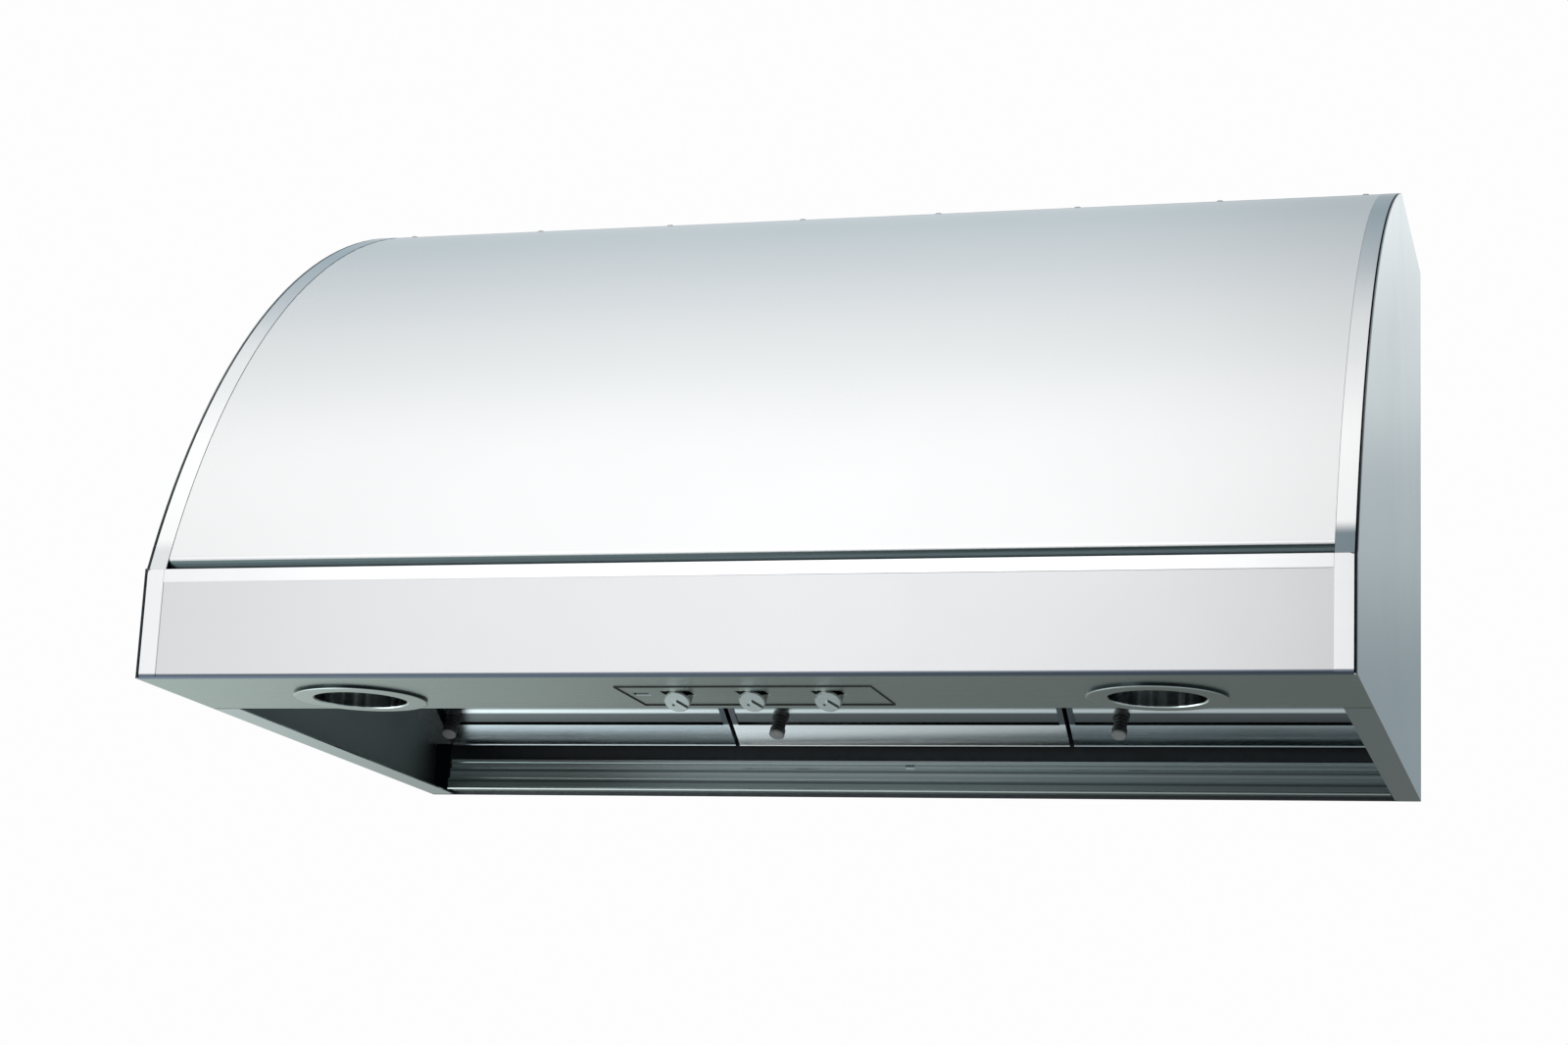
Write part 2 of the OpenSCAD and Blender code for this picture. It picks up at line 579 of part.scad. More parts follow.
module motor() {
  l = scroll_x0 - 6;
  color([0.30, 0.32, 0.34]) hood() difference() {
    union() {
      xcyl(motor_r, -l + 14, l - 14, fan_y, fan_z);
      for (s = [0, 1]) mirror([s, 0, 0]) {
        xcyl(motor_r - 4, l - 14.5, l - 5, fan_y, fan_z);
        xcyl(18, l - 6, l + 4, fan_y, fan_z);
        for (q = [-1, 1]) xcyl(4, l - 12, l + 6, fan_y + q * 36, fan_z);
      }
    }
    xcyl(shaft_r + 0.05, -l - 10, l + 10, fan_y, fan_z);
    for (s = [-1, 1], q = [-1, 1]) xcyl(2, s > 0 ? l - 6 : -l - 8, s > 0 ? l + 8 : -l + 6, fan_y + q * 36, fan_z);
    for (a = [0:30:330]) translate([0, fan_y, fan_z]) rotate([a, 0, 0]) translate([-30, -3, motor_r - 3]) cube([60, 6, 8]);
  }
}
// shelf off the back panel with two saddles under the motor
module motor_bracket() {
  zb = fan_z - motor_r - 14;
  color(galv) hood() difference() {
    union() {
      slab(-62, 62, fan_y - 52, wall_y - 0.01, zb, zb + 2);
      slab(-62, 62, wall_y - 2, wall_y, zb - 30, zb + 24);
      for (s = [-1, 1]) slab(s * 40 - 1, s * 40 + 1, fan_y - 44, fan_y + 44, zb + 1, fan_z - 20);
    }
    xcyl(motor_r, -70, 70, fan_y, fan_z);
  }
}
module run_capacitor() {
  color([0.85, 0.85, 0.83]) hood() translate([-24, wall_y - 1, fan_z + 84]) rotate([0, 90, 0]) {
    translate([0, -18, 0]) cylinder(r = 17, h = 48, $fn = FN);
    translate([-5, -18, -7]) cube([2, 5, 7.5]);
    translate([4, -18, -7]) cube([2, 5, 7.5]);
    translate([-4, -8, 6]) cube([8, 9, 36]);
  }
}

// sheet metal box that joins both scroll outlets to the duct collar
module discharge_box() {
  xo = scroll_x0 + scroll_w; z0 = neck_z; z1 = body_h - sheet;
  y0 = duct_y0; y1 = scroll_back;
  module outline(g, e) {
    translate([0, y1 - g, 0]) rotate([90, 0, 0]) linear_extrude(height = y1 - y0 - 2 * g)
      polygon([[-xo + g, z0 - e], [xo - g, z0 - e], [xo - g, z0 + 18], [collar_w / 2 - g, z1 - 10], [collar_w / 2 - g, z1 + e],
               [-collar_w / 2 + g, z1 + e], [-collar_w / 2 + g, z1 - 10], [-xo + g, z0 + 18]]);
  }
  color(galv) hood() {
    difference() {
      union() { outline(0, 0); slab(-xo, xo, y0 - 8, y1 + 5, z0, z0 + 1.2); slab(-collar_w / 2 - 12, collar_w / 2 + 12, y0 - 10, y1, z1 - 1.2, z1); }
      difference() { outline(1, 3); slab(-scroll_x0 - 1, scroll_x0 + 1, y0 - 20, y1 + 20, z0 - 5, z0 + 1.2); }
      slab(-collar_w / 2 + 1, collar_w / 2 - 1, duct_y0 + 1, duct_y1 - 1, z1 - 4, z1 + 4);
      // outlets only over the two scrolls
    }
  }
}

module duct_collar() {
  w = collar_w; z0 = body_h; t = 0.9;
  color(galv) hood() difference() {
    union() {
      slab(-w / 2, w / 2, duct_y0, duct_y1, z0, z0 + collar_h);
      slab(-w / 2 - 11, w / 2 + 11, duct_y0 - 10, duct_y1 + 8, z0, z0 + 1);
    }
    slab(-w / 2 + t, w / 2 - t, duct_y0 + t, duct_y1 - t, z0 - 1, z0 + collar_h + 1);
    translate([0, duct_y0 + 9, z0 + 9]) rotate([0, 90, 0]) cylinder(r = 1.5, h = w + 20, center = true, $fn = FN);
  }
}
flap_y = duct_y0 + 9;
flap_z = body_h + 9;
module damper_pin() { color(polished) hood() xcyl(1.5, -collar_w / 2 - 2, collar_w / 2 + 2, flap_y, flap_z); }
module damper_flap() {
  w = collar_w - 6;
  color(galv) hood() difference() {
    union() {
      slab(-w / 2, w / 2, flap_y - 7, duct_y1 - 4, flap_z - 2.6, flap_z - 1.8);
      for (x = [-90, 0, 90]) xcyl(2.6, x - 14, x + 14, flap_y, flap_z);
    }
    xcyl(1.55, -w, w, flap_y, flap_z);
  }
}

module junction_box() {
  color(galv) hood() difference() {
    slab(jb_x0, jb_x1, jb_y0, jb_y1, jb_z0, body_h - sheet);
    slab(jb_x0 + 1, jb_x1 - 1, jb_y0 + 1, jb_y1 - 1, jb_z0 - 1, body_h - sheet - 1);
    translate([(jb_x0 + jb_x1) / 2, (jb_y0 + jb_y1) / 2, body_h]) cylinder(r = knock_r, h = 10, center = true, $fn = FN);
    translate([(jb_x0 + jb_x1) / 2, jb_y0, body_h - 22]) rotate([90, 0, 0]) cylinder(r = 5, h = 6, center = true, $fn = FN);
  }
}
module junction_cover() {
  color(galv) hood() {
    slab(jb_x0, jb_x1, jb_y0, jb_y1, jb_z0 - 1, jb_z0);
    for (s = [-1, 1]) translate([(jb_x0 + jb_x1) / 2 + s * 40, (jb_y0 + jb_y1) / 2, jb_z0 - 3]) cylinder(r = 4, h = 2.1, $fn = FN);
  }
}

// flexible wiring sleeve from the junction box through the inner wall down to the controls
jb_x = (jb_x0 + jb_x1) / 2;
loom = [[jb_x, jb_y0 + 6, body_h - 22], [jb_x, 385, body_h - 22], [jb_x, 352, 436], [jb_x, 326, 413], [jb_x, 292, 413],
        [-270, 240, 350], [-240, 180, 260], [-190, 130, 150], [-120, 118, 70], [-70, 116, 46], [80, 116, 46],
        [200, 122, 100], [280, 100, 135], [lamp_x, lamp_y, 124], [lamp_x, lamp_y, 103.7]];
spur = [[-190, 130, 150], [-270, 104, 140], [-lamp_x, lamp_y, 124], [-lamp_x, lamp_y, 103.7]];
lay = [0.5, 0.8, 0.2];
function unit(v) = v / norm(v);
function heading(p, k) = unit((k > 0 ? unit(p[k] - p[k - 1]) : [0, 0, 0]) + (k < len(p) - 1 ? unit(p[k + 1] - p[k]) : [0, 0, 0]));
function ring(p, k, r, n) = let(t = heading(p, k), u = unit(cross(t, lay)), v = cross(t, u))
  [for (i = [0:n - 1]) p[k] + r * (cos(360 * i / n) * u + sin(360 * i / n) * v)];
module tube(p, r, n = 10) {
  m = len(p);
  polyhedron(points = [for (k = [0:m - 1]) each ring(p, k, r, n)],
    faces = concat([[for (i = [0:n - 1]) i]], [[for (i = [n - 1:-1:0]) (m - 1) * n + i]],
      [for (k = [0:m - 2], i = [0:n - 1], h = [0, 1]) let(a = k * n + i, b = k * n + (i + 1) % n)
        h == 0 ? [a, a + n, b] : [b, a + n, b + n]]));
}
module wiring_loom() {
  color(black) hood() {
    tube(loom, 4.5);
    tube(spur, 4.5);
    for (i = [-1:1]) tube([[ctrl_x + i * knob_pitch, 116, 46], [ctrl_x + i * knob_pitch, 104, 40],
                           [ctrl_x + i * knob_pitch, face_y - ay * (pd + 17.8 + back), face_z - az * (pd + 17.8 + back)]], 2.5);
  }
}
module wall_grommet() {
  color(black) hood() translate([(jb_x0 + jb_x1) / 2, wall_y_at(413), 413]) rotate([90, 0, 0]) difference() {
    cylinder(r = 9, h = 8, center = true, $fn = FN);
    cylinder(r = 7, h = 20, center = true, $fn = FN);
  }
}
module blower_screws() {
  color(polished) hood() {
    for (s = [0, 1], q = [-1, 1]) mirror([s, 0, 0]) {
      xcyl(2, scroll_x0 - 6, scroll_x0 + 2, fan_y + q * 36, fan_z);
      xcyl(4, scroll_x0 + 1, scroll_x0 + 4, fan_y + q * 36, fan_z);
    }
  }
}

left_side_panel();
right_side_panel();
canopy();
left_edge_strip();
right_edge_strip();
front_band();
band_top_strip();
band_side_strips();
top_panel();
back_panel();
lamp_panel();
inner_front_wall();
canopy_screws();
control_plate();
knob_left();
knob_middle();
knob_right();
shaft_left();
shaft_middle();
shaft_right();
rotary_controls();
control_nuts();
lamp_trim_left();
lamp_trim_right();
lamp_can_left();
lamp_can_right();
lamp_bulb_left();
lamp_bulb_right();
lamp_sockets();
filter_left_frame();
filter_left_baffles();
filter_left_grip();
filter_middle_frame();
filter_middle_baffles();
filter_middle_grip();
filter_right_frame();
filter_right_baffles();
filter_right_grip();
filter_ledge();
filter_side_rails();
rear_rail();
grease_tray();
scroll_left();
scroll_right();
wheel_left();
wheel_right();
fan_shaft();
motor();
motor_bracket();
run_capacitor();
blower_screws();
discharge_box();
duct_collar();
damper_flap();
damper_pin();
junction_box();
junction_cover();
wiring_loom();
wall_grommet();
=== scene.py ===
import json
import math

import bmesh
import bpy
from mathutils import Euler, Matrix, Vector


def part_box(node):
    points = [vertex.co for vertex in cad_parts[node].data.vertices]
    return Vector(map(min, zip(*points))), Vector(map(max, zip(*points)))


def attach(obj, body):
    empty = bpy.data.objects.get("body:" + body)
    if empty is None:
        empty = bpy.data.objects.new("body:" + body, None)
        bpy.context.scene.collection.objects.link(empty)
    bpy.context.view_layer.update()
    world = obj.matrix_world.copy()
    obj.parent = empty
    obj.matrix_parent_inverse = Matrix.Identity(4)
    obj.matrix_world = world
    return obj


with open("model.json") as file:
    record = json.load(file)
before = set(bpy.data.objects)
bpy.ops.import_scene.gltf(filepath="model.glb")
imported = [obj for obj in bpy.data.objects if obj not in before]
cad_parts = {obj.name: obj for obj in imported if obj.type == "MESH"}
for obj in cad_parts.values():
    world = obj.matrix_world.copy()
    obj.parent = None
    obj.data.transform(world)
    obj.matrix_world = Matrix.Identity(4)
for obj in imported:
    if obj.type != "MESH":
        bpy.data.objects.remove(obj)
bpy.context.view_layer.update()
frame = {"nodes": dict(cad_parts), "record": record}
NODES = frame["nodes"]


# ---------------------------------------------------------------- node helpers
class Net:
    def __init__(self, tree):
        self.t = tree

    def add(self, kind, **values):
        n = self.t.nodes.new(kind)
        for k, v in values.items():
            if hasattr(n, k):
                setattr(n, k, v)
            else:
                n.inputs[k.replace("_", " ")].default_value = v
        return n

    def link(self, a, b):
        self.t.links.new(a, b)

    def math(self, op, a, b=None, clamp=False):
        n = self.t.nodes.new("ShaderNodeMath")
        n.operation = op
        n.use_clamp = clamp
        for i, v in enumerate((a, b)):
            if v is None:
                continue
            if isinstance(v, (int, float)):
                n.inputs[i].default_value = v
            else:
                self.link(v, n.inputs[i])
        return n.outputs[0]

    def remap(self, v, a, b, c, d, smooth=False):
        n = self.t.nodes.new("ShaderNodeMapRange")
        if smooth:
            n.interpolation_type = "SMOOTHSTEP"
        self.link(v, n.inputs["Value"])
        for k, x in zip(("From Min", "From Max", "To Min", "To Max"), (a, b, c, d)):
            n.inputs[k].default_value = x
        return n.outputs["Result"]

    def mix(self, fac, a, b, blend="MIX"):
        n = self.t.nodes.new("ShaderNodeMix")
        n.data_type = "RGBA"
        n.blend_type = blend
        for i, v in ((0, fac), (6, a), (7, b)):
            if isinstance(v, (int, float)):
                n.inputs[i].default_value = v
            elif isinstance(v, (tuple, list)):
                n.inputs[i].default_value = (*v[:3], 1)
            else:
                self.link(v, n.inputs[i])
        return n.outputs[2]

    def combine(self, x):
        n = self.t.nodes.new("ShaderNodeCombineXYZ")
        self.link(x, n.inputs[0])
        return n.outputs[0]

    def noise(self, coord, scale, size=1.0, detail=2.0, rough=0.5, offset=(0, 0, 0)):
        m = self.t.nodes.new("ShaderNodeMapping")
        m.inputs["Scale"].default_value = scale
        m.inputs["Location"].default_value = offset
        self.link(coord, m.inputs["Vector"])
        n = self.t.nodes.new("ShaderNodeTexNoise")
        n.inputs["Scale"].default_value = size
        n.inputs["Detail"].default_value = detail
        n.inputs["Roughness"].default_value = rough
        self.link(m.outputs[0], n.inputs["Vector"])
        return n.outputs["Fac"]


def start(name):
    m = bpy.data.materials.new(name)
    m.use_nodes = True
    m.node_tree.nodes.clear()
    net = Net(m.node_tree)
    out = net.add("ShaderNodeOutputMaterial")
    b = net.add("ShaderNodeBsdfPrincipled")
    net.link(b.outputs[0], out.inputs[0])
    co = net.add("ShaderNodeTexCoord").outputs["Object"]
    return m, net, b, co


def bump(net, b, height, strength, dist):
    n = net.add("ShaderNodeBump")
    n.inputs["Strength"].default_value = strength
    n.inputs["Distance"].default_value = dist
    net.link(height, n.inputs["Height"])
    net.link(n.outputs[0], b.inputs["Normal"])


def steel(name, col, rough, axis="X", aniso=0.0, grain=1.0, smudge=0.05, wear=0.5, tangent="X", edge=None):
    """Brushed sheet: long fine grain along one axis, soft smudges in gloss, brighter rubbed edges."""
    m, net, b, co = start(name)
    long_, short = 3.0, 1500.0
    sc = {"X": (long_, short, short), "Y": (short, long_, short), "Z": (short, short, long_)}[axis]
    fine = net.noise(co, sc, 1.0, 4, 0.6)
    sc2 = tuple(v * (0.6 if v < 10 else 0.16) for v in sc)
    broad = net.noise(co, sc2, 1.0, 3, 0.55, (3.1, 1.7, 5.3))
    cloud = net.noise(co, (1, 1, 1), 5.5, 4, 0.55)
    g = net.math("ADD", net.math("MULTIPLY", fine, 0.65), net.math("MULTIPLY", broad, 0.35))
    dark = tuple(c * (1 - 0.11 * grain) for c in col)
    light = tuple(min(1, c * (1 + 0.06 * grain)) for c in col)
    c1 = net.mix(net.remap(g, 0.32, 0.68, 0, 1), dark, light)
    c1 = net.mix(net.remap(cloud, 0.35, 0.75, 0, 0.22), c1, tuple(c * 0.93 for c in col))
    point = net.add("ShaderNodeNewGeometry").outputs["Pointiness"]
    rub = net.remap(point, 0.52, 0.60, 0, wear)
    c1 = net.mix(rub, c1, edge or tuple(min(1, c * 1.15 + 0.03) for c in col))
    net.link(c1, b.inputs["Base Color"])
    r = net.math("ADD", net.remap(g, 0.3, 0.7, rough - 0.05 * grain, rough + 0.05 * grain), net.remap(cloud, 0.3, 0.7, -smudge, smudge))
    r = net.math("SUBTRACT", r, net.math("MULTIPLY", rub, 0.08), True)
    net.link(r, b.inputs["Roughness"])
    b.inputs["Metallic"].default_value = 1.0
    if aniso:
        b.inputs["Anisotropic"].default_value = aniso
        t = net.add("ShaderNodeTangent")
        t.direction_type = "RADIAL"
        t.axis = tangent
        net.link(t.outputs[0], b.inputs["Tangent"])
    bump(net, b, g, 0.06 * grain, 0.0003)
    return m


def polished(name, col, rough=0.07):
    m, net, b, co = start(name)
    cloud = net.noise(co, (1, 1, 1), 14, 5, 0.6)
    swirl = net.noise(co, (30, 260, 260), 1.0, 3, 0.5)
    net.link(net.mix(net.remap(cloud, 0.3, 0.75, 0, 0.35), col, tuple(c * 0.90 for c in col)), b.inputs["Base Color"])
    net.link(net.math("ADD", net.remap(cloud, 0.3, 0.7, rough - 0.02, rough + 0.05), net.remap(swirl, 0.4, 0.7, 0, 0.03)), b.inputs["Roughness"])
    b.inputs["Metallic"].default_value = 1.0
    bump(net, b, swirl, 0.03, 0.0003)
    return m


def zinc(name, col=(0.42, 0.44, 0.45)):
    """Zinc coated sheet: flat spangles, each a slightly different grey and gloss."""
    m, net, b, co = start(name)
    v = net.add("ShaderNodeTexVoronoi")
    v.inputs["Scale"].default_value = 240
    net.link(co, v.inputs["Vector"])
    sep = net.add("ShaderNodeSeparateColor")
    net.link(v.outputs["Color"], sep.inputs[0])
    cell = sep.outputs[0]
    cloud = net.noise(co, (1, 1, 1), 9, 4, 0.6)
    c = net.mix(net.remap(cell, 0, 1, 0, 1), tuple(x * 0.92 for x in col), tuple(min(1, x * 1.09) for x in col))
    c = net.mix(net.remap(cloud, 0.4, 0.8, 0, 0.3), c, tuple(x * 0.75 for x in col))
    net.link(c, b.inputs["Base Color"])
    net.link(net.math("ADD", net.remap(cell, 0, 1, 0.34, 0.50), net.remap(cloud, 0.3, 0.7, -0.04, 0.06)), b.inputs["Roughness"])
    b.inputs["Metallic"].default_value = 0.9
    bump(net, b, cell, 0.04, 0.0003)
    return m


def plastic(name, col, rough=0.42, grain=900.0, metal=0.0, clear=0.0):
    m, net, b, co = start(name)
    pebble = net.noise(co, (1, 1, 1), grain, 3, 0.55)
    cloud = net.noise(co, (1, 1, 1), 40, 3, 0.5)
    point = net.add("ShaderNodeNewGeometry").outputs["Pointiness"]
    rub = net.remap(point, 0.53, 0.62, 0, 0.5)
    c = net.mix(net.remap(cloud, 0.3, 0.7, 0, 1), tuple(x * 0.82 for x in col), tuple(min(1, x * 1.18) for x in col))
    c = net.mix(rub, c, tuple(min(1, x * 1.8 + 0.02) for x in col))
    net.link(c, b.inputs["Base Color"])
    net.link(net.math("ADD", net.remap(pebble, 0.3, 0.7, rough - 0.06, rough + 0.06), net.remap(cloud, 0.3, 0.7, -0.04, 0.04)), b.inputs["Roughness"])
    b.inputs["Metallic"].default_value = metal
    b.inputs["Coat Weight"].default_value = clear
    bump(net, b, pebble, 0.12, 0.0002)
    return m


def lens(name):
    """Pressed lamp face: cloudy glass with a fine dimple pattern."""
    m, net, b, co = start(name)
    v = net.add("ShaderNodeTexVoronoi")
    v.inputs["Scale"].default_value = 260
    net.link(co, v.inputs["Vector"])
    net.link(net.mix(net.remap(v.outputs["Distance"], 0, 0.6, 0, 1), (0.55, 0.58, 0.57), (0.28, 0.31, 0.31)), b.inputs["Base Color"])
    net.link(net.remap(v.outputs["Distance"], 0, 0.6, 0.08, 0.22), b.inputs["Roughness"])
    b.inputs["Transmission Weight"].default_value = 0.15
    bump(net, b, v.outputs["Distance"], 0.3, 0.0008)
    return m


def back_sheet(name):
    """Wall-side sheet: clean zinc outside, and painted shade darkening the face that points into the hood."""
    m = zinc(name)
    net = Net(m.node_tree)
    b = next(n for n in m.node_tree.nodes if n.type == "BSDF_PRINCIPLED")
    old = b.inputs["Base Color"].links[0].from_socket
    geo = net.add("ShaderNodeNewGeometry")
    sep = net.add("ShaderNodeSeparateXYZ")
    net.link(geo.outputs["True Normal"], sep.inputs[0])
    # painted shade on the faces that point into the hood
    inward = net.remap(sep.outputs["Y"], -0.6, -0.3, 1.0, 0.0)
    net.link(net.mix(inward, old, (0.085, 0.09, 0.10)), b.inputs["Base Color"])
    return m


MATS = {
    "brushed": steel("brushed_canopy", (0.80, 0.81, 0.82), 0.30, "X", 0.55, 0.40, 0.02),
    "side_steel": steel("brushed_side", (0.66, 0.73, 0.76), 0.30, "Z", 0.0, 0.35),
    "polished": polished("polished_steel", (0.95, 0.96, 0.97), 0.12),
    "under_steel": steel("satin_under", (0.59, 0.66, 0.63), 0.31, "X", 0.0, 0.35, 0.02),
    "galvanised": zinc("zinc_sheet"),
    "filter_steel": steel("satin_filter", (0.64, 0.71, 0.75), 0.24, "X", 0.0, 0.6),
    "knob_metal": steel("satin_knob", (0.46, 0.49, 0.48), 0.22, "X", 0.0, 0.7),
    "bright_steel": polished("bright_zinc", (0.56, 0.58, 0.60), 0.22),
    "black_plastic": plastic("moulded_black", (0.016, 0.017, 0.019), 0.38),
    "black_rubber": plastic("black_sleeve", (0.020, 0.020, 0.021), 0.62, 500),
    "lamp_glass": lens("lamp_lens"),
    "porcelain": plastic("glazed_holder", (0.80, 0.79, 0.74), 0.20, 300, 0.0, 0.4),
    "motor_paint": plastic("dark_enamel", (0.035, 0.038, 0.042), 0.34, 420, 0.0, 0.2),
    "capacitor_case": plastic("case_plastic", (0.72, 0.72, 0.68), 0.36, 600),
}


# ---------------------------------------------------------------- local finishes, mostly painted light and shade, placed in the part's own coordinates
def base_of(m):
    net = Net(m.node_tree)
    b = next(n for n in m.node_tree.nodes if n.type == "BSDF_PRINCIPLED")
    sep = net.add("ShaderNodeSeparateXYZ")
    net.link(net.add("ShaderNodeTexCoord").outputs["Object"], sep.inputs[0])
    return net, b, sep.outputs["X"], sep.outputs["Y"], sep.outputs["Z"]


def tint(net, b, mask, col, amount=1.0):
    """Multiply the base colour by col where mask is 1."""
    old = b.inputs["Base Color"].links[0].from_socket
    m = net.math("MULTIPLY", mask, amount)
    net.link(net.mix(m, old, net.mix(1.0, old, col, "MULTIPLY")), b.inputs["Base Color"])


def between(net, v, lo, hi, soft):
    up = net.remap(v, lo - soft, lo + soft, 0.0, 1.0, True)
    down = net.remap(v, hi - soft, hi + soft, 1.0, 0.0, True)
    return net.math("MULTIPLY", up, down)


def shaded_lower_edge(m, depth=0.0034):
    """Lower edge of the band: the sheet turns under here, and its lowest few millimetres are darkened with painted
    shade.
    """
    net, b, x, y, z = base_of(m)
    # painted shade over the lowest few millimetres of the band
    tint(net, b, net.remap(z, -0.477 + depth - 0.0008, -0.477 + depth + 0.0006, 1.0, 0.0, True), (0.16, 0.19, 0.24))
    return m


def side_sheet(name):
    """Brushed outside; the inside, seen from below, has higher roughness and painted shade darkening its colour."""
    m = steel(name, (0.70, 0.77, 0.80), 0.17, "Z", 0.0, 0.30)
    net, b, x, y, z = base_of(m)
    # inside face: painted shade darkens its colour, and its roughness is raised
    inner = net.remap(net.math("ABSOLUTE", x), 0.4561, 0.4565, 1.0, 0.0)
    above = net.remap(z, -0.4763, -0.4757, 0.0, 1.0)
    inner_dull_shade = net.math("MULTIPLY", inner, above)
    inner_shade_col = net.mix(net.noise(net.add("ShaderNodeTexCoord").outputs["Object"], (1, 1, 1), 9, 4, 0.5), (0.40, 0.45, 0.45), (0.46, 0.51, 0.52))
    net.link(net.mix(inner_dull_shade, b.inputs["Base Color"].links[0].from_socket, inner_shade_col), b.inputs["Base Color"])
    rough = b.inputs["Roughness"].links[0].from_socket
    net.link(net.math("MAXIMUM", rough, net.math("MULTIPLY", inner_dull_shade, 0.55)), b.inputs["Roughness"])
    geo = net.add("ShaderNodeNewGeometry")
    sep = net.add("ShaderNodeSeparateXYZ")
    net.link(geo.outputs["True Normal"], sep.inputs[0])
    edge_face_shade = net.math("MULTIPLY", net.remap(net.math("ABSOLUTE", sep.outputs["X"]), 0.35, 0.70, 1.0, 0.0), net.remap(sep.outputs["Z"], -0.7, -0.5, 0.0, 1.0))
    # painted shade on the panel's edge faces, strongest low down
    tint(net, b, net.math("MULTIPLY", edge_face_shade, net.remap(z, -0.36, -0.08, 1.0, 0.35)), (0.06, 0.07, 0.08))
    return m


def slope(net, y, z):
    """Distance up the filter's slope from its lower edge."""
    return net.math("ADD", net.math("MULTIPLY", net.math("SUBTRACT", 0.092, y), 0.8660254), net.math("MULTIPLY", net.math("ADD", z, 0.433), 0.5))


def frame_steel(name, col, lift=0.0):
    """Filter frame: lower border left as it is, painted shade on the frame above it, and a slightly dished face when
    lift is set.
    """
    m = steel(name, col, 0.24, "X", 0.0, 0.5)
    net, b, x, y, z = base_of(m)
    d = slope(net, y, z)
    # painted shade on the frame above its lower border
    tint(net, b, net.remap(d, 0.0302, 0.0312, 0.0, 1.0), (0.12, 0.13, 0.14))
    if lift:
        bumped = b.inputs["Normal"].links[0].from_socket
        add = net.t.nodes.new("ShaderNodeVectorMath")
        tilt = net.t.nodes.new("ShaderNodeCombineXYZ")
        net.link(net.remap(x, -0.15, 0.15, -lift, -lift * 0.35), tilt.inputs[1])
        net.link(bumped, add.inputs[0])
        net.link(tilt.outputs[0], add.inputs[1])
        unit = net.t.nodes.new("ShaderNodeVectorMath")
        unit.operation = "NORMALIZE"
        net.link(add.outputs[0], unit.inputs[0])
        net.link(unit.outputs[0], b.inputs["Normal"])
    return m


def grip_plastic(name):
    """Grip: dark ribbed stem, with a painted highlight on its end."""
    m = plastic(name, (0.026, 0.027, 0.029), 0.42)
    net, b, x, y, z = base_of(m)
    h = net.math("ADD", net.math("MULTIPLY", net.math("SUBTRACT", 0.092, y), 0.5), net.math("MULTIPLY", net.math("ADD", z, 0.433), -0.8660254))
    grain = net.noise(net.add("ShaderNodeTexCoord").outputs["Object"], (1, 1, 1), 700, 3, 0.6)
    # painted highlight on the end of the grip
    end_highlight = net.math("MULTIPLY", net.remap(h, 0.0196, 0.0206, 0.0, 1.0, True), net.remap(grain, 0.35, 0.6, 0.5, 1.0))
    net.link(net.mix(end_highlight, b.inputs["Base Color"].links[0].from_socket, (0.30, 0.31, 0.31)), b.inputs["Base Color"])
    return m


def baffle_steel(name):
    """Baffles: painted shade low in each channel, a painted highlight along each crease, and lighter painted shade on
    the flats above.
    """
    m = steel(name, (0.60, 0.66, 0.68), 0.27, "X", 0.0, 0.6)
    net, b, x, y, z = base_of(m)
    d = net.math("ADD", net.math("MULTIPLY", net.math("SUBTRACT", 0.092, y), 0.8660254), net.math("MULTIPLY", net.math("ADD", z, 0.433), 0.5))
    k = net.math("MODULO", net.math("ADD", net.math("SUBTRACT", d, 0.033), 0.3844444), 0.0384444)
    # painted shade, then a painted highlight, then painted shade along each channel
    tint(net, b, net.remap(k, 0.0118, 0.0128, 1.0, 0.0, True), (0.26, 0.25, 0.25))
    tint(net, b, between(net, k, 0.0135, 0.0172, 0.0005), (1.5, 1.45, 1.40))
    tint(net, b, net.remap(k, 0.0178, 0.0190, 0.0, 1.0, True), (0.55, 0.56, 0.58))
    return m


def plate_steel(name):
    """Control plate: satin face, with painted shade on the pockets round the knobs."""
    m = steel(name, (0.57, 0.63, 0.59), 0.30, "X", 0.0, 0.35, 0.02)
    net, b, x, y, z = base_of(m)
    # painted shade on the pocket walls round the knobs
    tint(net, b, net.remap(z, -0.47685, -0.4765, 0.0, 1.0), (0.13, 0.14, 0.16))
    return m


def lined_steel(name, col, lines):
    """Folded strip with painted shade along its creases, painted highlights along its ridges, and painted shade growing
    towards +X.
    """
    m = steel(name, col, 0.26, "X", 0.0, 0.5, 0.02)
    net, b, x, y, z = base_of(m)
    # bands of painted shade and painted highlight across the strip
    for lo, hi, c in lines:
        tint(net, b, between(net, z, lo / 1000 - 0.477, hi / 1000 - 0.477, 0.0005), c)
    # painted shade growing towards +X
    tint(net, b, net.remap(x, -0.05, 0.40, 0.0, 1.0, True), (0.62, 0.62, 0.63))
    return m


